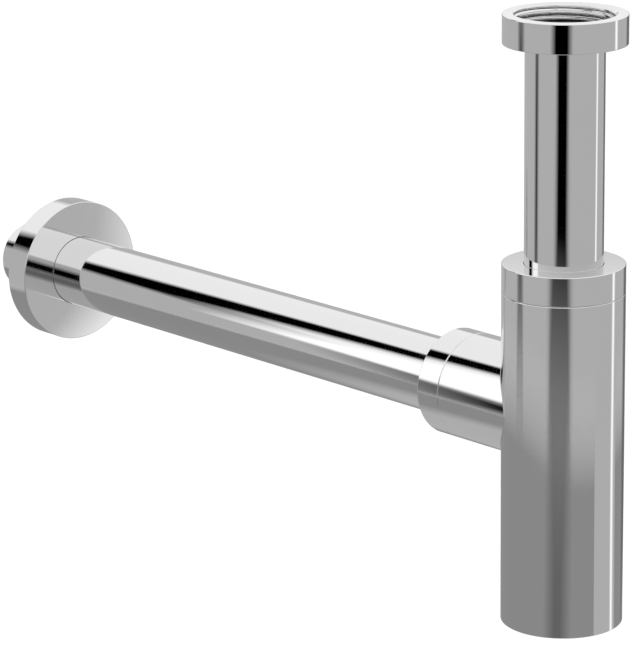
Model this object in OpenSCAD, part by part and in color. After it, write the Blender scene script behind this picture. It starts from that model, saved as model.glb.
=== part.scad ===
// Washbasin bottle trap with a straight cylindrical bottle, in chromed brass.
// Water enters at the top through the union nut, runs down the inlet tube that dips
// into the bottle, rises round it and leaves through the side port to the wall.
// Frame: origin in the mouth of the inlet nut on the inlet axis, +Z up, +Y to the wall.

/* [Tubes] */
// Outside diameter of the inlet and the outlet tube
tube_d = 32; // [28:0.5:40]
// Wall thickness of both tubes
tube_wall = 1; // [0.7:0.1:1.5]

/* [Inlet union nut] */
// Height of the inlet nut
inlet_nut_h = 12; // [11:0.5:18]
// Wall of the inlet nut outside its thread
inlet_nut_wall = 4.04; // [2:0.01:8]
// Width of the flared collar round the inlet tube, which sets the basin waste's thread
collar_w = 3.03; // [2.4:0.01:5]
// Thickness of the lip that catches the inlet tube's collar
inlet_lip_t = 1.6; // [1.2:0.1:2.4]
// Lead-in chamfer at the nut's mouth
mouth_chamfer = 1.2; // [0.6:0.1:1.6]
// Thickness of the flared collar on the inlet tube
collar_t = 1.4; // [1:0.1:1.8]
// Thickness of the flat washer on the collar
washer_t = 2; // [1.5:0.1:2.6]

/* [Inlet tube] */
// Length of inlet tube in view between the nut and the cap
inlet_exposed = 89; // [60:1:140]
// Depth of the water seal, from the outlet's weir to the foot of the dip tube
seal_depth = 55; // [30:1:60]

/* [Bottle] */
// Room for silt between the foot of the dip tube and the bottle's floor
sump_h = 16.7; // [8:0.1:60]
// Wall thickness of the bottle
body_wall = 1.5; // [1:0.1:2]
// Thickness of the bottle's floor
floor_t = 2; // [1.5:0.1:4]
// Radius inside the bottle between its wall and its floor
floor_fillet = 3; // [1:0.5:6]
// Height of the cap
cap_h = 12; // [11:0.5:16]
// Wall of the cap outside its thread, which ends flush with the bottle
cap_wall = 2; // [1.2:0.1:4]
// Wall of the bottle's neck between the seal's seat and the thread
cap_neck_wall = 3.46; // [1.5:0.01:6]
// Depth of the thickened head below the cap's seam
head_depth = 6; // [4:0.5:10]

/* [Outlet port] */
// Drop from the cap's top face to the outlet's axis
port_drop = 62.3; // [55:0.1:100]
// Reach of the port from the bottle's axis to its nut
port_reach = 49.8; // [44:0.1:70]
// Wall thickness of the port
port_wall = 2.5; // [1.5:0.1:3]
// Length of the outlet nut
outlet_nut_h = 12; // [11:0.5:16]
// Wall of the outlet nut outside its thread, which ends flush with the port
outlet_nut_wall = 1.54; // [1.2:0.01:3.5]
// Wall of the port's neck between the seal's seat and the thread
outlet_neck_wall = 0.9; // [0.7:0.05:2.5]

/* [Outlet tube and wall flange] */
// Reach from the inlet's axis to the wall
wall_reach = 328.5; // [250:0.5:420]
// Length of outlet tube that runs on into the wall
stub = 27; // [22:1:60]
// Radius by which the end that enters the wall's rubber sleeve is drawn down
spigot_step = 0.2; // [0.2:0.05:0.4]
// Depth that the outlet tube reaches into the port
tube_insert = 14; // [11:0.5:20]
// Outside diameter of the wall flange
flange_d = 65.5; // [58:0.5:90]
// Depth of the wall flange
flange_t = 12.5; // [10:0.5:20]
// Thickness of the flange's front disc
flange_face_t = 2; // [1.5:0.1:3]
// Thickness of the flange's rim
flange_rim_t = 1.6; // [1.2:0.1:4]
// Cross-section of the grip ring inside the flange
grip_ring_d = 3; // [2:0.1:3.5]

/* [Compression joints] */
// Thickness of a clamp nut's end face
nut_face_t = 2.2; // [1.6:0.1:3]
// Thickness of a slip ring
slip_ring_t = 1.2; // [0.8:0.1:1.6]
// Width of a cone seal where it is thickest
seal_w = 2.18; // [1.6:0.01:3.5]
// Height of the tapered part of a cone seal
seal_taper = 4.8; // [3:0.1:6]
// Height that a cone seal stands proud of its neck
seal_proud = 0.4; // [0.2:0.1:0.8]
// Pitch of the cap's fine thread
cap_pitch = 1.5; // [1:0.1:2]
// Pitch of the pipe threads
pipe_pitch = 2.309; // [1.8:0.001:2.4]

/* [Clearances] */
// Gap between a tube and the bore that guides it
guide_clear = 0.4; // [0.3:0.05:0.8]
// Gap between a tube and the hole in a nut or the flange in front of it
hole_clear = 0.6; // [0.4:0.05:1]
// Radial gap between a tube and the rubber that grips it
grip_clear = 0.05; // [0.02:0.01:0.1]
// Half of the play between two mating threads, both drawn plain at their pitch line
thread_play = 0.1; // [0.05:0.01:0.3]
// Gap between faces that bear on each other
seat_gap = 0.06; // [0.02:0.01:0.2]
// Width of the fine seam between a nut and the shoulder under it
seam = 0.15; // [0.1:0.05:0.5]
// Room between a loose ring and the thread that it passes
ring_room = 0.45; // [0.2:0.05:0.8]
// Chamfer on the outer edges of the chromed parts
edge = 0.35; // [0.2:0.05:0.6]
// Chamfer on washers, rings and tube ends
small_edge = 0.2; // [0.1:0.05:0.3]

/* [Hidden] */
$fn = 96;
over = 1;

chrome = [0.80, 0.82, 0.84];
rubber = [0.12, 0.12, 0.13];
plastic = [0.90, 0.90, 0.87];

tube_r = tube_d / 2;
bore_r = tube_r - tube_wall;
guide_r = tube_r + guide_clear;
hole_r = tube_r + hole_clear;
grip_r = tube_r + grip_clear;

// Depth of a thread from its major to its minor radius, and of a run-out groove below that
thread_depth_per_pitch = 0.64;
cap_thread_depth = thread_depth_per_pitch * cap_pitch;
pipe_thread_depth = thread_depth_per_pitch * pipe_pitch;
thread_relief = 0.2;

// Radii from the tubes outwards: collar or seal, neck, thread and nut
collar_r = tube_r + collar_w;
inlet_minor_r = collar_r + ring_room;
inlet_major_r = inlet_minor_r + pipe_thread_depth;
inlet_nut_r = inlet_major_r + inlet_nut_wall;
seat_r = guide_r + seal_w;
cap_minor_r = seat_r + cap_neck_wall;
body_r = cap_minor_r + cap_thread_depth + cap_wall;
chamber_r = body_r - body_wall;
outlet_minor_r = seat_r + outlet_neck_wall;
port_r = outlet_minor_r + pipe_thread_depth + outlet_nut_wall;

// Levels of the inlet, from the nut's mouth down
z_lip = inlet_lip_t - inlet_nut_h;
z_collar = z_lip + seat_gap;
z_collar_top = z_collar + collar_t;
z_washer = z_collar_top + seat_gap;
z_thread_end = z_washer + washer_t + ring_room;
collar_bend = 0.5;

// Levels of the bottle, from its cap down
z_cap = -inlet_nut_h - inlet_exposed;
z_shoulder = z_cap - cap_h;
z_port = z_cap - port_drop;
z_dip = z_port - bore_r - seal_depth;
z_floor = z_dip - sump_h;
z_bottom = z_floor - floor_t;

// Width of a neck's run-out groove, and the chamfer at its mouth
neck_relief_w = 1;
neck_edge = 0.6;

// Places along the outlet
y_tube = port_reach - tube_insert;
y_tube_end = wall_reach + stub;
y_flange = wall_reach - flange_t;
guide_l = 10;

// The flange's hub, which holds the grip ring in a groove
hub_wall = 1.8;
hub_short = 2.5;
groove_side = 0.15;
groove_r = grip_r + grip_ring_d + grip_clear;
hub_r = groove_r + hub_wall;
hub_l = flange_t - hub_short;
grip_at = (flange_face_t + hub_l) / 2;
y_spigot = wall_reach - hub_short / 2;

// Heights in a compression joint, from the shoulder at 0 to the nut's end face at h
function ring_top(h) = h - nut_face_t - seat_gap;
function seal_top(h) = ring_top(h) - slip_ring_t - seat_gap;
function neck_top(h) = seal_top(h) - seal_proud;

// A ring's section, chamfered on its two outer corners
module band(r_in, r_out, z0, z1, corner) {
    polygon([[r_in, z0], [r_out - corner, z0], [r_out, z0 + corner], [r_out, z1 - corner],
        [r_out - corner, z1], [r_in, z1]]);
}

module turned_ring(r_in, r_out, z0, z1, corner) {
    rotate_extrude() band(r_in, r_out, z0, z1, corner);
}

// A cone that breaks the edge of a bore of radius r at height z, opening towards side, +1 or -1
module countersink(r, z, size, side) {
    rotate_extrude()
        polygon([[0, z - side * size], [r, z - side * size], [r + size + over, z + side * over],
            [0, z + side * over]]);
}

// Turns what stands along +Z so that it runs along +Y on the outlet's axis, from distance y
module along_outlet(y) {
    translate([0, y, z_port]) rotate([-90, 0, 0]) children();
}

// Threaded neck with a run-out groove, standing on a shoulder at height 0
module neck(minor_r, thread_depth, h) {
    crest = minor_r + thread_depth / 2 - thread_play;
    root = minor_r - thread_relief;
    rotate_extrude()
        polygon([[0, -over], [root, -over], [root, neck_relief_w], [crest, neck_relief_w + crest - root],
            [crest, neck_top(h) - neck_edge], [crest - neck_edge, neck_top(h)], [0, neck_top(h)]]);
}

// What is bored out of a neck: the tube's guide and the tapered seat of the cone seal
module neck_bore(h, depth) {
    top = neck_top(h);
    rotate_extrude()
        polygon([[0, -depth], [guide_r, -depth], [guide_r, top - seal_taper], [seat_r, top],
            [seat_r, top + over], [0, top + over]]);
}

// Clamp nut: a threaded skirt over the neck, and an end face with a hole for the tube
module clamp_nut(outer_r, minor_r, thread_depth, h) {
    thread_r = minor_r + thread_depth / 2 + thread_play;
    difference() {
        turned_ring(0, outer_r, seam, h, edge);
        translate([0, 0, -over]) cylinder(r = thread_r, h = h - nut_face_t + over);
        translate([0, 0, -over]) cylinder(r = hole_r, h = h + 2 * over);
        countersink(thread_r, seam, neck_edge, -1);
        countersink(hole_r, h, small_edge, 1);
    }
}

module slip_ring(minor_r, h) {
    turned_ring(guide_r, minor_r - ring_room, ring_top(h) - slip_ring_t, ring_top(h), small_edge);
}

// Rubber cone that is pressed into the neck's seat and grips the tube
module cone_seal(h) {
    top = seal_top(h);
    neck_end = neck_top(h);
    taper_per_height = (seat_r - guide_r) / seal_taper;
    foot_r = guide_r + small_edge - seat_gap;
    rotate_extrude()
        polygon([[grip_r, neck_end - seal_taper + small_edge / taper_per_height],
            [foot_r, neck_end - seal_taper + small_edge / taper_per_height],
            [seat_r - seat_gap, neck_end], [seat_r - seat_gap, top], [grip_r, top]]);
}

module inlet_nut() {
    relief_r = inlet_major_r + thread_play;
    color(chrome)
        difference() {
            turned_ring(0, inlet_nut_r, -inlet_nut_h, 0, edge);
            translate([0, 0, z_lip]) cylinder(r = inlet_minor_r, h = inlet_nut_h);
            translate([0, 0, z_lip]) cylinder(r = relief_r, h = z_thread_end - z_lip);
            translate([0, 0, -inlet_nut_h - over]) cylinder(r = hole_r, h = inlet_nut_h);
            countersink(inlet_minor_r, 0, mouth_chamfer, 1);
            countersink(hole_r, -inlet_nut_h, small_edge, -1);
        }
}

module inlet_washer() {
    color(rubber)
        turned_ring(bore_r + small_edge, collar_r, z_washer, z_washer + washer_t, small_edge);
}

// Long tube: its flared collar hangs in the nut and its foot dips into the bottle's water
module inlet_tube() {
    color(chrome)
        difference() {
            union() {
                turned_ring(0, tube_r, z_dip, z_collar_top - small_edge, small_edge);
                turned_ring(0, collar_r, z_collar, z_collar_top, small_edge);
                rotate_extrude()
                    difference() {
                        translate([0, z_collar - collar_bend]) square([tube_r + collar_bend, collar_bend]);
                        translate([tube_r + collar_bend, z_collar - collar_bend]) circle(r = collar_bend);
                    }
            }
            translate([0, 0, z_dip - over]) cylinder(r = bore_r, h = -z_dip);
            rotate_extrude()
                difference() {
                    translate([0, z_collar_top - collar_bend])
                        square([bore_r + collar_bend, collar_bend + over]);
                    translate([bore_r + collar_bend, z_collar_top - collar_bend]) circle(r = collar_bend);
                }
        }
}

module body_cap() {
    color(chrome) translate([0, 0, z_shoulder]) clamp_nut(body_r, cap_minor_r, cap_thread_depth, cap_h);
}

module cap_slip_ring() {
    color(plastic) translate([0, 0, z_shoulder]) slip_ring(cap_minor_r, cap_h);
}

module cap_seal() {
    color(rubber) translate([0, 0, z_shoulder]) cone_seal(cap_h);
}

// The bottle's hollow: a rounded floor, a straight wall and a coned roof under the head
module chamber() {
    z_roof = z_shoulder - head_depth;
    roof_rise = (chamber_r - guide_r) / 2;
    rotate_extrude() {
        translate([0, z_floor]) square([chamber_r - floor_fillet, floor_fillet * 2]);
        translate([chamber_r - floor_fillet, z_floor + floor_fillet]) circle(r = floor_fillet);
        translate([0, z_floor + floor_fillet]) square([chamber_r, z_roof - z_floor - floor_fillet]);
        translate([0, z_roof]) polygon([[0, 0], [chamber_r, 0], [guide_r, roof_rise], [0, roof_rise]]);
    }
}

module bottle() {
    color(chrome)
        difference() {
            union() {
                turned_ring(0, body_r, z_bottom, z_shoulder, edge);
                translate([0, 0, z_shoulder]) neck(cap_minor_r, cap_thread_depth, cap_h);
                along_outlet(0) turned_ring(0, port_r, 0, port_reach, edge);
                along_outlet(port_reach) neck(outlet_minor_r, pipe_thread_depth, outlet_nut_h);
            }
            chamber();
            translate([0, 0, z_shoulder]) neck_bore(cap_h, head_depth + over);
            along_outlet(0) cylinder(r = port_r - port_wall, h = port_reach - guide_l);
            along_outlet(port_reach) neck_bore(outlet_nut_h, guide_l + over);
        }
}

module outlet_nut() {
    color(chrome)
        along_outlet(port_reach)
            clamp_nut(port_r, outlet_minor_r, pipe_thread_depth, outlet_nut_h);
}

module outlet_slip_ring() {
    color(plastic) along_outlet(port_reach) slip_ring(outlet_minor_r, outlet_nut_h);
}

module outlet_seal() {
    color(rubber) along_outlet(port_reach) cone_seal(outlet_nut_h);
}

module outlet_tube() {
    color(chrome)
        difference() {
            along_outlet(0) {
                turned_ring(0, tube_r, y_tube, y_spigot, spigot_step);
                turned_ring(0, tube_r - spigot_step, y_spigot - over, y_tube_end, small_edge);
            }
            along_outlet(y_tube - over) cylinder(r = bore_r, h = y_tube_end - y_tube + 2 * over);
        }
}

// Rubber ring in the flange's hub, which keeps the flange where it is pushed
module flange_grip_ring() {
    color(rubber)
        along_outlet(y_flange + grip_at)
            rotate_extrude() translate([grip_r + grip_ring_d / 2, 0]) circle(r = grip_ring_d / 2);
}

// Turned disc, hollow towards the wall, with a hub round the tube
module wall_flange() {
    groove_half = grip_ring_d / 2 + groove_side;
    color(chrome)
        along_outlet(y_flange)
            difference() {
                turned_ring(0, flange_d / 2, 0, flange_t, edge);
                rotate_extrude()
                    translate([hub_r, flange_face_t])
                        square([flange_d / 2 - flange_rim_t - hub_r, flange_t]);
                translate([0, 0, hub_l]) cylinder(r = hub_r + over, h = flange_t);
                translate([0, 0, -over]) cylinder(r = hole_r, h = flange_t + 2 * over);
                translate([0, 0, grip_at - groove_half]) cylinder(r = groove_r, h = 2 * groove_half);
            }
}

inlet_nut();
inlet_washer();
inlet_tube();
body_cap();
cap_slip_ring();
cap_seal();
bottle();
outlet_nut();
outlet_slip_ring();
outlet_seal();
outlet_tube();
flange_grip_ring();
wall_flange();
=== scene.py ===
"""Looks of the washbasin bottle trap: polished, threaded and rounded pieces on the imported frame, in a plain studio."""
import math

import bpy
import numpy as np
from mathutils import Matrix

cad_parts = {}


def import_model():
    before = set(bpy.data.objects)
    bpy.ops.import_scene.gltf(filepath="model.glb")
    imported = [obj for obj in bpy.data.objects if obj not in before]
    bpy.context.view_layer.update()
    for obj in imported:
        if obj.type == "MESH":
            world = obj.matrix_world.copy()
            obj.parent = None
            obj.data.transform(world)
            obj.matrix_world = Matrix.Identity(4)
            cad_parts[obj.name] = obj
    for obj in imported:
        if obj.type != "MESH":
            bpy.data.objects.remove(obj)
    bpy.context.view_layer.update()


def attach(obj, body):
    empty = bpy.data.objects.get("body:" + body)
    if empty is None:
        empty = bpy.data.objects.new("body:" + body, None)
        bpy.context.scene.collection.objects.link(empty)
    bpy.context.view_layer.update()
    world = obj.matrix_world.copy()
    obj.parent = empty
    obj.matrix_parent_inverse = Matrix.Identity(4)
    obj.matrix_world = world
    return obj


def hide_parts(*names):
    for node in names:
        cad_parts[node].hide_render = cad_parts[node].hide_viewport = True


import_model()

MM = 0.001

# Main sizes in millimetres, as in the part's source
TUBE_R, BORE_R, GUIDE_R, HOLE_R, GRIP_R = 16.0, 15.0, 16.4, 16.6, 16.05
COLLAR_R = 19.03
NUT_R, INLET_MOUTH, INLET_MINOR, INLET_RELIEF = 24.998, 20.68, 19.48, 21.058
SEAT_R, CAP_MINOR, BODY_R, CHAMBER_R = 18.58, 22.04, 25.0, 23.5
OUTLET_MINOR, PORT_R, PORT_BORE = 19.48, 22.498, 19.998
Z_LIP, Z_COLLAR, Z_COLLAR_TOP, Z_WASHER, Z_WASHER_TOP, Z_THREAD_END = -10.4, -10.34, -8.94, -8.88, -6.88, -6.43
NUT_H = 12.0
Z_SHOULDER, Z_ROOF, Z_PORT, Z_DIP, Z_FLOOR, Z_BOTTOM = -113.0, -119.0, -163.3, -233.3, -250.0, -252.0
ROOF_RISE = 3.55
FLOOR_FILLET = 3.0
PORT_REACH, PORT_BORE_END = 49.8, 39.8
Y_TUBE, Y_SPIGOT, Y_TUBE_END, Y_FLANGE = 35.8, 327.25, 355.5, 316.0
SPIGOT_R = 15.8
FLANGE_R, FLANGE_T, FLANGE_FACE, FLANGE_RIM = 32.75, 12.5, 2.0, 1.6
HUB_R, HUB_L, GROOVE_R, GRIP_AT, GROOVE_HALF, GRIP_RING = 20.9, 10.0, 19.1, 6.0, 1.65, 1.5

# The clamp nuts and the flange close round the tube, and the nuts down on their shoulders, to a hairline
SNUG_R, SEAM = 16.12, 0.04

# Compression joints: heights above the shoulder that both kinds share
NUT_FACE, NECK_TOP, NECK_EDGE, RELIEF_W, RELIEF = 2.2, 8.08, 0.6, 1.0, 0.2
SEAL_TAPER, SEAL_TOP, RING_LOW, RING_TOP = 4.8, 8.48, 8.54, 9.74

# Threads: pitch and full depth, the play on each side, and the share of the depth that is cut
CAP_PITCH, CAP_DEPTH = 1.5, 0.96
PIPE_PITCH, PIPE_DEPTH = 2.309, 1.478
THREAD_PLAY, THREAD_FILL = 0.1, 0.9

# Roundings
EDGE, SMALL, CRISP = 0.35, 0.2, 0.06

# Fineness of the meshes
COLUMNS = 320
THREAD_ROWS = 11
ARC_STEP = math.radians(15)

# The wall round the port is a patch this wide each side of +Y and this high each side of the port's axis
PATCH_COLUMNS = 64
PATCH_ROWS = 28
PATCH_V = 27.0
PATCH_RINGS = 6
BRAZE = 0.5
BRAZE_ROWS = 6


def unit(v):
    return v / np.linalg.norm(v, axis=-1, keepdims=True)


class Skin:
    """Gathers sheets of points with their normals, and welds them into one closed mesh."""

    def __init__(self):
        self.points, self.normals, self.quads, self.count = [], [], [], 0

    def sheet(self, points, normals, around=True):
        """Adds rows x columns of points; around joins the last column to the first."""
        rows, cols = points.shape[:2]
        at = self.count + np.arange(rows * cols).reshape(rows, cols)
        here, there = (at, np.roll(at, -1, 1)) if around else (at[:, :-1], at[:, 1:])
        quads = np.stack([here[:-1], there[:-1], there[1:], here[1:]], -1)
        self.points.append(points.reshape(-1, 3))
        self.normals.append(np.broadcast_to(normals, points.shape).reshape(-1, 3))
        self.quads.append(quads.reshape(-1, 4))
        self.count += rows * cols

    def make(self, name):
        points, normals = np.concatenate(self.points), unit(np.concatenate(self.normals))
        quads = np.concatenate(self.quads)
        key = np.round(points * 1e4 + 0.123).astype(np.int64)
        _, first, weld = np.unique(key, axis=0, return_index=True, return_inverse=True)
        weld = weld.reshape(-1)
        spots = points[first]
        faces, sides = [], []
        for quad in quads:
            ids = weld[quad]
            keep = [k for k in range(4) if ids[k] != ids[k - 1]]
            if len(keep) > 2 and len(set(ids[keep])) == len(keep):
                faces.append(ids[keep])
                sides.append(quad[keep])
        flat, side = np.concatenate(faces), np.concatenate(sides)
        sizes = np.array([len(f) for f in faces])
        starts = np.concatenate([[0], np.cumsum(sizes)[:-1]])
        corner = [spots[flat[starts + k]] for k in range(3)]
        last = spots[flat[starts + sizes - 1]]
        across = np.cross(corner[1] - last, corner[2] - corner[0])
        toward = np.add.reduceat(normals[side], starts, axis=0)
        turn = (across * toward).sum(1) < 0
        order = np.arange(len(flat))
        for s, n, t in zip(starts, sizes, turn):
            if t:
                order[s:s + n] = order[s:s + n][::-1]
        flat, side = flat[order], side[order]
        mesh = bpy.data.meshes.new(name)
        mesh.vertices.add(len(spots))
        mesh.vertices.foreach_set("co", (spots * MM).ravel())
        mesh.loops.add(len(flat))
        mesh.loops.foreach_set("vertex_index", flat.astype(np.int32))
        mesh.polygons.add(len(starts))
        mesh.polygons.foreach_set("loop_start", starts.astype(np.int32))
        mesh.update(calc_edges=True)
        mesh.shade_smooth()
        mesh.normals_split_custom_set(normals[side].tolist())
        piece = bpy.data.objects.new(name, mesh)
        bpy.context.scene.collection.objects.link(piece)
        return piece


def thread_wave(turns):
    """A rounded 55 degree thread between -1 and 1."""
    a = 2 * np.pi * turns
    return (np.sin(a) - np.sin(3 * a) / 9) / 1.111


def section(corners, closed=True):
    """Samples r, h, normal r, normal h, thread share of a section that keeps the metal on its left.

    A corner is (r, h), (r, h, rounding) or (r, h, rounding, pitch): a pitch threads the line to the next corner."""
    full = [tuple(c) + (CRISP, 0)[len(c) - 2:] for c in corners]
    n = len(full)
    lines = n if closed else n - 1
    at = np.array([c[:2] for c in full], float)
    way = unit(np.roll(at, -1, 0) - at)
    out = []
    ends = []
    for i, (r, h, rounding, pitch) in enumerate(full):
        here = at[i]
        if not closed and i in (0, n - 1):
            d = way[0] if i == 0 else way[n - 2]
            ends.append((here, here))
            out.append([(*here, d[1], -d[0], 0.0)])
            continue
        d1, d2 = way[i - 1], way[i]
        cross = d1[0] * d2[1] - d1[1] * d2[0]
        turn = math.atan2(cross, float(d1 @ d2))
        if abs(turn) < 1e-6 or rounding <= 0:
            ends.append((here, here))
            out.append([(*here, d[1], -d[0], 0.0) for d in (d1, d2)])
            continue
        reach = rounding * math.tan(abs(turn) / 2)
        side = 1 if turn > 0 else -1
        n1 = np.array([d1[1], -d1[0]])
        start = here - d1 * reach
        centre = start - side * rounding * n1
        steps = max(2, math.ceil(abs(turn) / ARC_STEP))
        arc = []
        for k in range(steps + 1):
            a = turn * k / steps
            m = np.array([n1[0] * math.cos(a) - n1[1] * math.sin(a), n1[0] * math.sin(a) + n1[1] * math.cos(a)])
            arc.append((*(centre + side * rounding * m), m[0], m[1], 0.0))
        ends.append((start, here + d2 * reach))
        out.append(arc)
    samples = []
    for i in range(n):
        samples += out[i]
        pitch = full[i][3]
        if pitch and i < lines:
            a, b = ends[i][1], ends[(i + 1) % n][0]
            length = float(np.linalg.norm(b - a))
            rows = max(2, math.ceil(length / pitch * THREAD_ROWS))
            d = way[i]
            for k in range(1, rows):
                t = k / rows
                fade = min(1.0, min(t, 1 - t) * length / (0.4 * pitch))
                samples.append((*(a + (b - a) * t), d[1], -d[0], fade * fade * (3 - 2 * fade)))
    if closed:
        samples.append(samples[0])
    return np.array(samples)


def upright(r, h, a):
    return np.stack([r * np.cos(a), r * np.sin(a), h + 0 * r * a], -1)


def outward(r, h, a):
    return np.stack([r * np.cos(a), h + 0 * r * a, Z_PORT + r * np.sin(a)], -1)


def turned(skin, samples, place, angles, depth=0.0, pitch=1.0, hand=-1):
    """Turns a section round an axis. place puts it upright or along the outlet; hand keeps the thread right-handed.

    A threaded line lies at the bottom of its grooves, and the crests stand up from it."""
    r, h, nr, nh, share = (samples[:, k, None] for k in range(5))
    a = angles[None, :]
    cut = share * depth / 2
    phase = h / pitch + hand * a / (2 * np.pi)
    radius = r + cut * (thread_wave(phase) + np.sign(nr))
    step = 1e-4
    slope = cut * (thread_wave(phase + step) - thread_wave(phase - step)) / (2 * step)
    n_h = np.where(share > 0, -nr * slope / pitch, nh)
    n_a = np.where(share > 0, -nr * slope * hand / (2 * np.pi) / np.maximum(radius, 1e-9), 0)
    normals = np.stack([nr * np.cos(a) - n_a * np.sin(a), nr * np.sin(a) + n_a * np.cos(a), n_h + 0 * a], -1)
    if place is outward:
        normals = normals[..., [0, 2, 1]]
    skin.sheet(place(radius, h + 0 * radius, a), normals)


def ring_angles(columns=COLUMNS):
    return 2 * np.pi * np.arange(columns) / columns


def lathe(name, corners, place, depth=0.0, pitch=1.0, columns=COLUMNS):
    """One closed turned piece."""
    skin = Skin()
    hand = -1 if place is upright else 1
    turned(skin, section(corners), place, ring_angles(columns), depth, pitch, hand)
    return skin.make(name)


def shifted(corners, by):
    return [(c[0], c[1] + by) + tuple(c[2:]) for c in corners]


# Sections of the turned pieces

def clamp_nut(outer, minor, depth, pitch):
    """A clamp nut above its shoulder at 0: threaded skirt and end face."""
    bore = minor + depth / 2 + THREAD_PLAY + THREAD_FILL * depth / 2
    return [(outer, SEAM, EDGE), (outer, NUT_H, EDGE), (SNUG_R, NUT_H, SMALL), (SNUG_R, NUT_H - NUT_FACE),
            (bore, NUT_H - NUT_FACE, CRISP, pitch), (bore, SEAM + NECK_EDGE), (bore + NECK_EDGE, SEAM)]


def neck(minor, depth, pitch):
    """A neck from its root on the shoulder at 0 up to its seat and down to the tube's guide."""
    core, root = minor + depth / 2 - THREAD_PLAY - THREAD_FILL * depth / 2, minor - RELIEF
    return [(root, 0), (root, RELIEF_W), (core, RELIEF_W + core - root, CRISP, pitch), (core, NECK_TOP - NECK_EDGE),
            (core - NECK_EDGE, NECK_TOP), (SEAT_R, NECK_TOP), (GUIDE_R, NECK_TOP - SEAL_TAPER)]


def slip_ring(minor):
    outer = minor - 0.45
    return [(GUIDE_R, RING_LOW, SMALL), (outer, RING_LOW, SMALL), (outer, RING_TOP, SMALL), (GUIDE_R, RING_TOP, SMALL)]


def cone_seal():
    foot = NECK_TOP - SEAL_TAPER + 0.44
    wide = SEAT_R - 0.06
    return [(GRIP_R, foot, 0.1), (GUIDE_R + 0.14, foot, 0.1), (wide, NECK_TOP, 0.1), (wide, SEAL_TOP, 0.15),
            (GRIP_R, SEAL_TOP, 0.2)]


def washer():
    inner = BORE_R + 0.2
    return [(inner, Z_WASHER, SMALL), (COLLAR_R, Z_WASHER, SMALL), (COLLAR_R, Z_WASHER_TOP, SMALL),
            (inner, Z_WASHER_TOP, SMALL)]


def inlet_tube():
    return [(BORE_R, Z_DIP, SMALL), (TUBE_R, Z_DIP, SMALL), (TUBE_R, Z_COLLAR, 0.5), (COLLAR_R, Z_COLLAR, SMALL),
            (COLLAR_R, Z_COLLAR_TOP, SMALL), (BORE_R, Z_COLLAR_TOP, 0.5)]


def outlet_tube():
    return [(BORE_R, Y_TUBE, SMALL), (TUBE_R, Y_TUBE, SMALL), (TUBE_R, Y_SPIGOT - 0.2, 0.3), (SPIGOT_R, Y_SPIGOT, 0.3),
            (SPIGOT_R, Y_TUBE_END, SMALL), (BORE_R, Y_TUBE_END, SMALL)]


def wall_flange():
    inner = FLANGE_R - FLANGE_RIM
    return [(SNUG_R, 0, SMALL), (FLANGE_R, 0, EDGE), (FLANGE_R, FLANGE_T, EDGE), (inner, FLANGE_T, SMALL),
            (inner, FLANGE_FACE, 0.5), (HUB_R, FLANGE_FACE, 0.5), (HUB_R, HUB_L, SMALL), (SNUG_R, HUB_L, SMALL),
            (SNUG_R, GRIP_AT + GROOVE_HALF), (GROOVE_R, GRIP_AT + GROOVE_HALF), (GROOVE_R, GRIP_AT - GROOVE_HALF),
            (SNUG_R, GRIP_AT - GROOVE_HALF)]


def grip_ring():
    centre = GRIP_R + GRIP_RING
    turn = np.linspace(0, 2 * np.pi, 49)
    r, h = np.cos(turn), np.sin(turn)
    return np.stack([centre + GRIP_RING * r, Y_FLANGE + GRIP_AT + GRIP_RING * h, r, h, 0 * r], -1)


def inlet_nut(name):
    """The union nut, with the female thread that opens in its mouth."""
    skin = Skin()
    angles = ring_angles()
    body = section([(INLET_RELIEF, Z_THREAD_END), (INLET_RELIEF, Z_LIP), (HOLE_R, Z_LIP), (HOLE_R, -NUT_H, SMALL),
                    (NUT_R, -NUT_H, EDGE), (NUT_R, 0, EDGE), (INLET_MOUTH, 0)], closed=False)
    turned(skin, body, upright, angles)
    rows = math.ceil(-Z_THREAD_END / PIPE_PITCH * THREAD_ROWS * 1.5)
    z = np.linspace(0, Z_THREAD_END, rows + 1)[:, None]
    a = angles[None, :]

    def wall(z, a):
        groove = 0.5 + 0.5 * thread_wave(z / PIPE_PITCH - a / (2 * np.pi))
        return np.maximum(INLET_MOUTH + z, INLET_MINOR + 0.85 * PIPE_DEPTH * groove * np.clip(-z / 0.25, 0, 1))

    r = wall(z, a)
    r[0] = INLET_MOUTH
    step = 1e-3
    r_z = (wall(z + step, a) - wall(z - step, a)) / (2 * step)
    r_a = (wall(z, a + step) - wall(z, a - step)) / (2 * step) / r
    normals = np.stack([-np.cos(a) - r_a * np.sin(a), -np.sin(a) + r_a * np.cos(a), r_z], -1)
    skin.sheet(upright(r, z + 0 * r, a), normals)
    floor = np.broadcast_to([0.0, 0.0, -1.0], (2, COLUMNS, 3))
    last = np.stack([r[-1], np.full(COLUMNS, INLET_RELIEF)])
    skin.sheet(upright(last, np.full_like(last, Z_THREAD_END), a), floor)
    return skin.make(name)


# The bottle

def patch_frame():
    """The patch's rim, anticlockwise seen from +Y's side: column angles, heights and directions round the port."""
    quarter = COLUMNS // 4
    half = PATCH_COLUMNS
    cols = np.arange(quarter - half, quarter + half + 1)
    heights = np.linspace(-PATCH_V, PATCH_V, 2 * PATCH_ROWS + 1)
    right = [(cols[0], v) for v in heights[:-1]]
    top = [(c, heights[-1]) for c in cols[:-1]]
    left = [(cols[-1], v) for v in heights[:0:-1]]
    bottom = [(c, heights[0]) for c in cols[:0:-1]]
    rim = right + top + left + bottom
    angle = np.array([2 * np.pi * c / COLUMNS for c, _ in rim])
    v = np.array([h for _, h in rim])
    phi = np.arctan2(v, BODY_R * (np.pi / 2 - angle))
    return angle, v, phi, cols, heights


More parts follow.
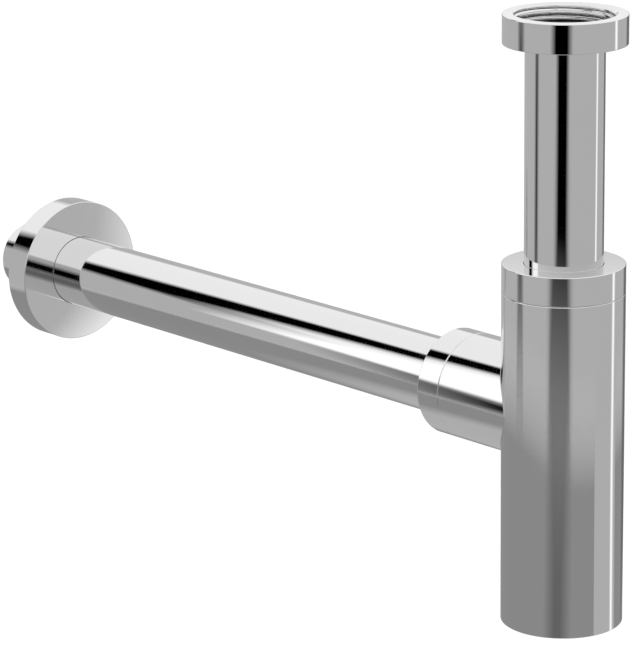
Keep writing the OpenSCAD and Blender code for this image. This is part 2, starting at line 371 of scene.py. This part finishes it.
def wall_with_hole(skin, radius, hole, fillet, way):
    """A band of cylinder wall with the port's hole in it, and the points where the port's own wall starts."""
    angle, v, phi, cols, heights = patch_frame()
    side = np.array([2 * np.pi * (c % COLUMNS) / COLUMNS for c in range(cols[-1], cols[0] + COLUMNS + 1)])[None, :]
    height = Z_PORT + heights[:, None]
    open_wall = upright(radius + 0 * side * height, height + 0 * side, side)
    skin.sheet(open_wall, way * upright(1 + 0 * side * height, 0 * side * height, side), around=False)
    x = hole * np.cos(phi)
    reach = np.arcsin(x / radius)
    start_u = reach + fillet * np.cos(phi) / radius
    start_v = hole * np.sin(phi) + fillet * np.sin(phi)
    t = np.linspace(0, 1, PATCH_RINGS + 1)[:, None]
    u = (np.pi / 2 - angle) * (1 - t) + start_u * t
    h = v * (1 - t) + start_v * t
    a = np.pi / 2 - u
    a[0] = angle
    skin.sheet(upright(radius + 0 * a, Z_PORT + h, a), way * upright(1 + 0 * a, 0 * a, a))
    saddle_y = np.sqrt(radius ** 2 - x ** 2)
    saddle = np.stack([x, saddle_y, Z_PORT + hole * np.sin(phi)], -1)
    if not fillet:
        return phi, saddle
    begin = upright(radius + 0 * a[-1:], Z_PORT + h[-1:], a[-1:])[0]
    end = saddle + [0, fillet, 0]
    t = np.linspace(0, 1, BRAZE_ROWS + 1)[:, None, None]
    curve = begin * (1 - t) ** 2 + 2 * saddle * t * (1 - t) + end * t ** 2
    along = 2 * (saddle - begin) * (1 - t) + 2 * (end - saddle) * t
    round_it = np.roll(curve, -1, 1) - np.roll(curve, 1, 1)
    normals = unit(np.cross(round_it, along))
    radial = np.stack([np.cos(phi), 0 * phi, np.sin(phi)], -1)
    normals *= np.sign((normals * radial).sum(-1, keepdims=True).mean())
    normals[0] = way * upright(1 + 0 * a[-1:], 0 * a[-1:], a[-1:])[0]
    normals[-1] = radial
    skin.sheet(curve, normals)
    return phi, end


def bottle(name):
    """Cylinder with its threaded neck, and the port with its own neck brazed into its side."""
    skin = Skin()
    angles = ring_angles()
    low, high = Z_PORT - PATCH_V, Z_PORT + PATCH_V
    base = section([(0, Z_BOTTOM), (BODY_R, Z_BOTTOM, EDGE), (BODY_R, low)], closed=False)
    turned(skin, base, upright, angles)
    top = section([(BODY_R, high), (BODY_R, Z_SHOULDER, EDGE)]
                  + shifted(neck(CAP_MINOR, CAP_DEPTH, CAP_PITCH), Z_SHOULDER)
                  + [(GUIDE_R, Z_ROOF + ROOF_RISE), (CHAMBER_R, Z_ROOF, 0.5), (CHAMBER_R, high)], closed=False)
    turned(skin, top, upright, angles, CAP_DEPTH * THREAD_FILL, CAP_PITCH)
    inside = section([(CHAMBER_R, low), (CHAMBER_R, Z_FLOOR, FLOOR_FILLET), (0, Z_FLOOR)], closed=False)
    turned(skin, inside, upright, angles)
    phi, outer = wall_with_hole(skin, BODY_R, PORT_R, BRAZE, 1)
    _, inner = wall_with_hole(skin, CHAMBER_R, PORT_BORE, 0, -1)
    port = section([(PORT_R, PORT_REACH - 1), (PORT_R, PORT_REACH, EDGE)]
                   + shifted(neck(OUTLET_MINOR, PIPE_DEPTH, PIPE_PITCH), PORT_REACH)
                   + [(GUIDE_R, PORT_BORE_END), (PORT_BORE, PORT_BORE_END), (PORT_BORE, PORT_BORE_END - 1)],
                   closed=False)
    turned(skin, port, outward, phi, PIPE_DEPTH * THREAD_FILL, PIPE_PITCH, 1)
    radial = np.stack([np.cos(phi), 0 * phi, np.sin(phi)], -1)
    for start, radius, y, way in ((outer, PORT_R, PORT_REACH - 1, 1), (inner, PORT_BORE, PORT_BORE_END - 1, -1)):
        end = outward(np.full_like(phi, radius), np.full_like(phi, y), phi)
        skin.sheet(np.stack([start, end]), way * np.stack([radial, radial]))
    return skin.make(name)


# Materials

def material(name, colour, metallic, roughness):
    m = bpy.data.materials.new(name)
    m.use_nodes = True
    shader = m.node_tree.nodes["Principled BSDF"]
    shader.inputs["Base Color"].default_value = (*colour, 1)
    shader.inputs["Metallic"].default_value = metallic
    shader.inputs["Roughness"].default_value = roughness
    return m, m.node_tree, shader


def noise(tree, scale, detail=3.0):
    """Noise in the piece's own coordinates, scale features to the metre."""
    where = tree.nodes.new("ShaderNodeTexCoord")
    field = tree.nodes.new("ShaderNodeTexNoise")
    field.inputs["Scale"].default_value = scale
    field.inputs["Detail"].default_value = detail
    tree.links.new(where.outputs["Object"], field.inputs["Vector"])
    return field.outputs["Fac"]


def spread(tree, value, low, high, socket):
    """Maps a noise's middle range onto a socket."""
    node = tree.nodes.new("ShaderNodeMapRange")
    for key, number in (("From Min", 0.3), ("From Max", 0.7), ("To Min", low), ("To Max", high)):
        node.inputs[key].default_value = number
    tree.links.new(value, node.inputs["Value"])
    tree.links.new(node.outputs["Result"], socket)


def tint(tree, value, dark, light, socket):
    """Runs a colour between two shades by a noise."""
    node = tree.nodes.new("ShaderNodeMix")
    node.data_type = "RGBA"
    node.inputs["A"].default_value = (*dark, 1)
    node.inputs["B"].default_value = (*light, 1)
    tree.links.new(value, node.inputs["Factor"])
    tree.links.new(node.outputs["Result"], socket)


def bump(tree, shader, value, distance, strength):
    node = tree.nodes.new("ShaderNodeBump")
    node.inputs["Distance"].default_value = distance
    node.inputs["Strength"].default_value = strength
    tree.links.new(value, node.inputs["Height"])
    tree.links.new(node.outputs["Normal"], shader.inputs["Normal"])


def chrome():
    m, tree, shader = material("polished_chrome", (0.81, 0.81, 0.81), 1.0, 0.04)
    tint(tree, noise(tree, 25), (0.795, 0.795, 0.795), (0.825, 0.825, 0.825), shader.inputs["Base Color"])
    spread(tree, noise(tree, 90, 5), 0.03, 0.06, shader.inputs["Roughness"])
    bump(tree, shader, noise(tree, 700, 1), 0.000004, 0.25)
    return m


def rubber():
    m, tree, shader = material("black_rubber", (0.03, 0.03, 0.032), 0.0, 0.6)
    tint(tree, noise(tree, 400), (0.022, 0.022, 0.024), (0.04, 0.04, 0.042), shader.inputs["Base Color"])
    spread(tree, noise(tree, 900), 0.5, 0.75, shader.inputs["Roughness"])
    bump(tree, shader, noise(tree, 2500, 4), 0.00003, 0.5)
    return m


def plastic():
    m, tree, shader = material("white_plastic", (0.82, 0.82, 0.78), 0.0, 0.35)
    tint(tree, noise(tree, 120), (0.79, 0.79, 0.75), (0.84, 0.84, 0.80), shader.inputs["Base Color"])
    spread(tree, noise(tree, 500), 0.3, 0.45, shader.inputs["Roughness"])
    bump(tree, shader, noise(tree, 1500, 2), 0.00001, 0.4)
    return m


def dress(pieces):
    """Puts each piece on the body and in the place of the node of its name."""
    finish = {"chromed_brass": chrome(), "black_rubber": rubber(), "white_plastic": plastic()}
    for node, slot, piece in pieces:
        piece.data.materials.append(finish[slot])
        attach(piece, node)
        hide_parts(node)


def trap():
    up, out = upright, outward
    cap = shifted(clamp_nut(BODY_R, CAP_MINOR, CAP_DEPTH, CAP_PITCH), Z_SHOULDER)
    outlet = shifted(clamp_nut(PORT_R, OUTLET_MINOR, PIPE_DEPTH, PIPE_PITCH), PORT_REACH)
    grip = Skin()
    turned(grip, grip_ring(), outward, ring_angles(192))
    return [
        ("inlet_nut", "chromed_brass", inlet_nut("union_nut")),
        ("inlet_washer", "black_rubber", lathe("union_washer", washer(), up)),
        ("inlet_tube", "chromed_brass", lathe("dip_tube", inlet_tube(), up)),
        ("body_cap", "chromed_brass", lathe("cap_nut", cap, up, CAP_DEPTH * THREAD_FILL, CAP_PITCH)),
        ("cap_slip_ring", "white_plastic", lathe("cap_ring", shifted(slip_ring(CAP_MINOR), Z_SHOULDER), up)),
        ("cap_seal", "black_rubber", lathe("cap_cone", shifted(cone_seal(), Z_SHOULDER), up)),
        ("bottle", "chromed_brass", bottle("bottle_shell")),
        ("outlet_nut", "chromed_brass", lathe("port_nut", outlet, out, PIPE_DEPTH * THREAD_FILL, PIPE_PITCH)),
        ("outlet_slip_ring", "white_plastic", lathe("port_ring", shifted(slip_ring(OUTLET_MINOR), PORT_REACH), out)),
        ("outlet_seal", "black_rubber", lathe("port_cone", shifted(cone_seal(), PORT_REACH), out)),
        ("outlet_tube", "chromed_brass", lathe("wall_tube", outlet_tube(), out)),
        ("flange_grip_ring", "black_rubber", grip.make("flange_ring")),
        ("wall_flange", "chromed_brass", lathe("wall_rose", shifted(wall_flange(), Y_FLANGE), out)),
    ]


# Studio

FLOOR_Z = -0.45


def background_share(tree):
    """1 for camera, glossy and transmission rays, which all see the plain white background."""
    path = tree.nodes.new("ShaderNodeLightPath")
    total = None
    for name in ("Is Camera Ray", "Is Glossy Ray", "Is Transmission Ray"):
        if total is None:
            total = path.outputs[name]
            continue
        add = tree.nodes.new("ShaderNodeMath")
        add.operation = "ADD"
        add.use_clamp = True
        tree.links.new(total, add.inputs[0])
        tree.links.new(path.outputs[name], add.inputs[1])
        total = add.outputs[0]
    return total


def floor():
    bpy.ops.mesh.primitive_plane_add(size=24, location=(0, 0, FLOOR_Z))
    plane = bpy.context.object
    plane.name = "studio_floor"
    m = bpy.data.materials.new("pale_floor")
    m.use_nodes = True
    tree = m.node_tree
    tree.nodes.clear()
    out = tree.nodes.new("ShaderNodeOutputMaterial")
    diffuse = tree.nodes.new("ShaderNodeBsdfDiffuse")
    diffuse.inputs["Color"].default_value = (0.82, 0.82, 0.82, 1)
    glow = tree.nodes.new("ShaderNodeEmission")
    lift = tree.nodes.new("ShaderNodeMath")
    lift.operation = "MULTIPLY"
    lift.inputs[1].default_value = 0.25
    tree.links.new(background_share(tree), lift.inputs[0])
    tree.links.new(lift.outputs[0], glow.inputs["Strength"])
    both = tree.nodes.new("ShaderNodeAddShader")
    tree.links.new(diffuse.outputs[0], both.inputs[0])
    tree.links.new(glow.outputs[0], both.inputs[1])
    tree.links.new(both.outputs[0], out.inputs["Surface"])
    plane.data.materials.append(m)


def world():
    w = bpy.data.worlds.new("studio")
    bpy.context.scene.world = w
    w.use_nodes = True
    tree = w.node_tree
    back = tree.nodes["Background"]
    back.inputs["Color"].default_value = (1, 1, 1, 1)
    level = tree.nodes.new("ShaderNodeMapRange")
    level.inputs["To Min"].default_value = 0.6
    level.inputs["To Max"].default_value = 1.0
    tree.links.new(background_share(tree), level.inputs["Value"])
    tree.links.new(level.outputs["Result"], back.inputs["Strength"])


def key_light():
    """A broad soft light from above the camera's left, as even over the floor as the sky."""
    data = bpy.data.lights.new("key", "SUN")
    data.angle = math.radians(35)
    data.energy = 1.38
    lamp = bpy.data.objects.new("key", data)
    lamp.visible_glossy = False
    bpy.context.scene.collection.objects.link(lamp)
    back = unit(np.array([-0.4, -0.2, 1.0]))
    side = unit(np.cross([0, 1, 0], back))
    rest = np.cross(back, side)
    lamp.matrix_world = Matrix([[*row, 0] for row in np.stack([side, rest, back], 1)] + [[0, 0, 0, 1]])


# Plain cards that only the polished metal sees: a wall and a table all round, and before them a few
# softboxes and flags, on a sphere round the trap with a flat foot over the floor. They are placed
# in steps of 5 degrees, and each has one of five strengths. Azimuth runs from +Y towards +X:
# name, azimuths, elevations, strength, width of the soft edge, layer
CARD_RADIUS = 0.9
CARD_CENTRE = (0.0, 0.05, -0.14)
CARD_FOOT = -0.44
LAYER = 0.01
BRIGHT, PALE, GREY, DIM, BLACK = 1.3, 0.5, 0.3, 0.15, 0.0
ALL_ROUND = (-180, 180)
CARDS = (
    ("foot", ALL_ROUND, (-90, -30), PALE, 0, 0),
    ("table", ALL_ROUND, (-45, -10), GREY, 10, 1),
    ("wall", ALL_ROUND, (-20, 20), PALE, 5, 2),
    ("panel_right", (115, 165), (-45, 10), PALE, 0, 3),
    ("strip_right", (120, 130), (-45, 10), BRIGHT, 5, 4),
    ("side_dim", (60, 90), (-35, 15), DIM, 10, 3),
    ("shade_front", (-155, -105), (-50, -5), DIM, 20, 3),
    ("flag_front", (-150, -110), (-20, 10), BLACK, 10, 4),
    ("flag_left", (-60, -40), (-20, 5), BLACK, 10, 3),
    ("softbox_left", (-60, -35), (0, 45), BRIGHT, 5, 4),
    ("flag_top", (-35, -15), (10, 50), BLACK, 5, 5),
)


def card(name, azimuths, elevations, strength, soft, layer):
    """One card of even strength, a part of the sphere that turns clear towards its edges."""
    cols, rows = azimuths[1] - azimuths[0], elevations[1] - elevations[0]
    az, el = np.meshgrid(np.linspace(*azimuths, cols + 1), np.linspace(*elevations, rows + 1))
    inside = np.minimum(el - elevations[0], elevations[1] - el)
    if azimuths != ALL_ROUND:
        inside = np.minimum(inside, np.minimum(az - azimuths[0], azimuths[1] - az))
    cover = np.clip(inside / soft, 0, 1) if soft else np.ones_like(el)
    az, el = np.radians(az), np.radians(el)
    way = np.stack([np.sin(az) * np.cos(el), np.cos(az) * np.cos(el), np.sin(el)], -1).reshape(-1, 3)
    foot = CARD_FOOT + layer * LAYER / 4 - CARD_CENTRE[2]
    reach = np.full(len(way), CARD_RADIUS - layer * LAYER)
    down = way[:, 2] < 0
    reach[down] = np.minimum(reach[down], foot / way[down, 2])
    points = way * reach[:, None] + CARD_CENTRE
    at = np.arange((rows + 1) * (cols + 1)).reshape(rows + 1, cols + 1)
    quads = np.stack([at[:-1, :-1], at[:-1, 1:], at[1:, 1:], at[1:, :-1]], -1).reshape(-1, 4)
    mesh = bpy.data.meshes.new(name)
    mesh.from_pydata(points.tolist(), [], quads.tolist())
    mesh.attributes.new("cover", "FLOAT", "POINT").data.foreach_set("value", cover.ravel().astype(np.float32))
    o = bpy.data.objects.new(name, mesh)
    bpy.context.scene.collection.objects.link(o)
    for kind in ("camera", "diffuse", "shadow", "transmission", "volume_scatter"):
        setattr(o, "visible_" + kind, False)
    o.data.materials.append(card_material(name, strength))


def card_material(name, strength):
    """An even glow, clear where the card's cover runs out."""
    m = bpy.data.materials.new(name)
    m.use_nodes = True
    tree = m.node_tree
    tree.nodes.clear()
    out = tree.nodes.new("ShaderNodeOutputMaterial")
    glow = tree.nodes.new("ShaderNodeEmission")
    glow.inputs["Strength"].default_value = strength
    clear = tree.nodes.new("ShaderNodeBsdfTransparent")
    cover = tree.nodes.new("ShaderNodeAttribute")
    cover.attribute_name = "cover"
    mix = tree.nodes.new("ShaderNodeMixShader")
    tree.links.new(cover.outputs["Fac"], mix.inputs["Fac"])
    tree.links.new(clear.outputs[0], mix.inputs[1])
    tree.links.new(glow.outputs[0], mix.inputs[2])
    tree.links.new(mix.outputs[0], out.inputs["Surface"])
    return m


# Camera, fitted to the photograph's outlines with no shift and the whole trap inside the frame
CAMERA_AT = (-0.95055, -0.91706, 0.24258)
YAW, PITCH, ROLL = -0.728, -0.2735, -0.0131
FOCAL = 186.78


def camera():
    data = bpy.data.cameras.new("view")
    data.sensor_width = 36
    data.lens = FOCAL
    data.clip_start, data.clip_end = 0.05, 60
    o = bpy.data.objects.new("view", data)
    forward = np.array([-math.sin(YAW) * math.cos(PITCH), math.cos(YAW) * math.cos(PITCH), math.sin(PITCH)])
    right = np.array([math.cos(YAW), math.sin(YAW), 0])
    up = np.cross(right, forward)
    right, up = (math.cos(ROLL) * right + math.sin(ROLL) * up, -math.sin(ROLL) * right + math.cos(ROLL) * up)
    rows = np.stack([right, up, -forward], 1)
    o.matrix_world = Matrix([[*rows[k], CAMERA_AT[k]] for k in range(3)] + [[0, 0, 0, 1]])
    bpy.context.scene.collection.objects.link(o)
    bpy.context.scene.camera = o


def studio():
    floor()
    world()
    key_light()
    for c in CARDS:
        card(*c)
    camera()
    bpy.context.scene.view_settings.view_transform = "Standard"


dress(trap())
studio()
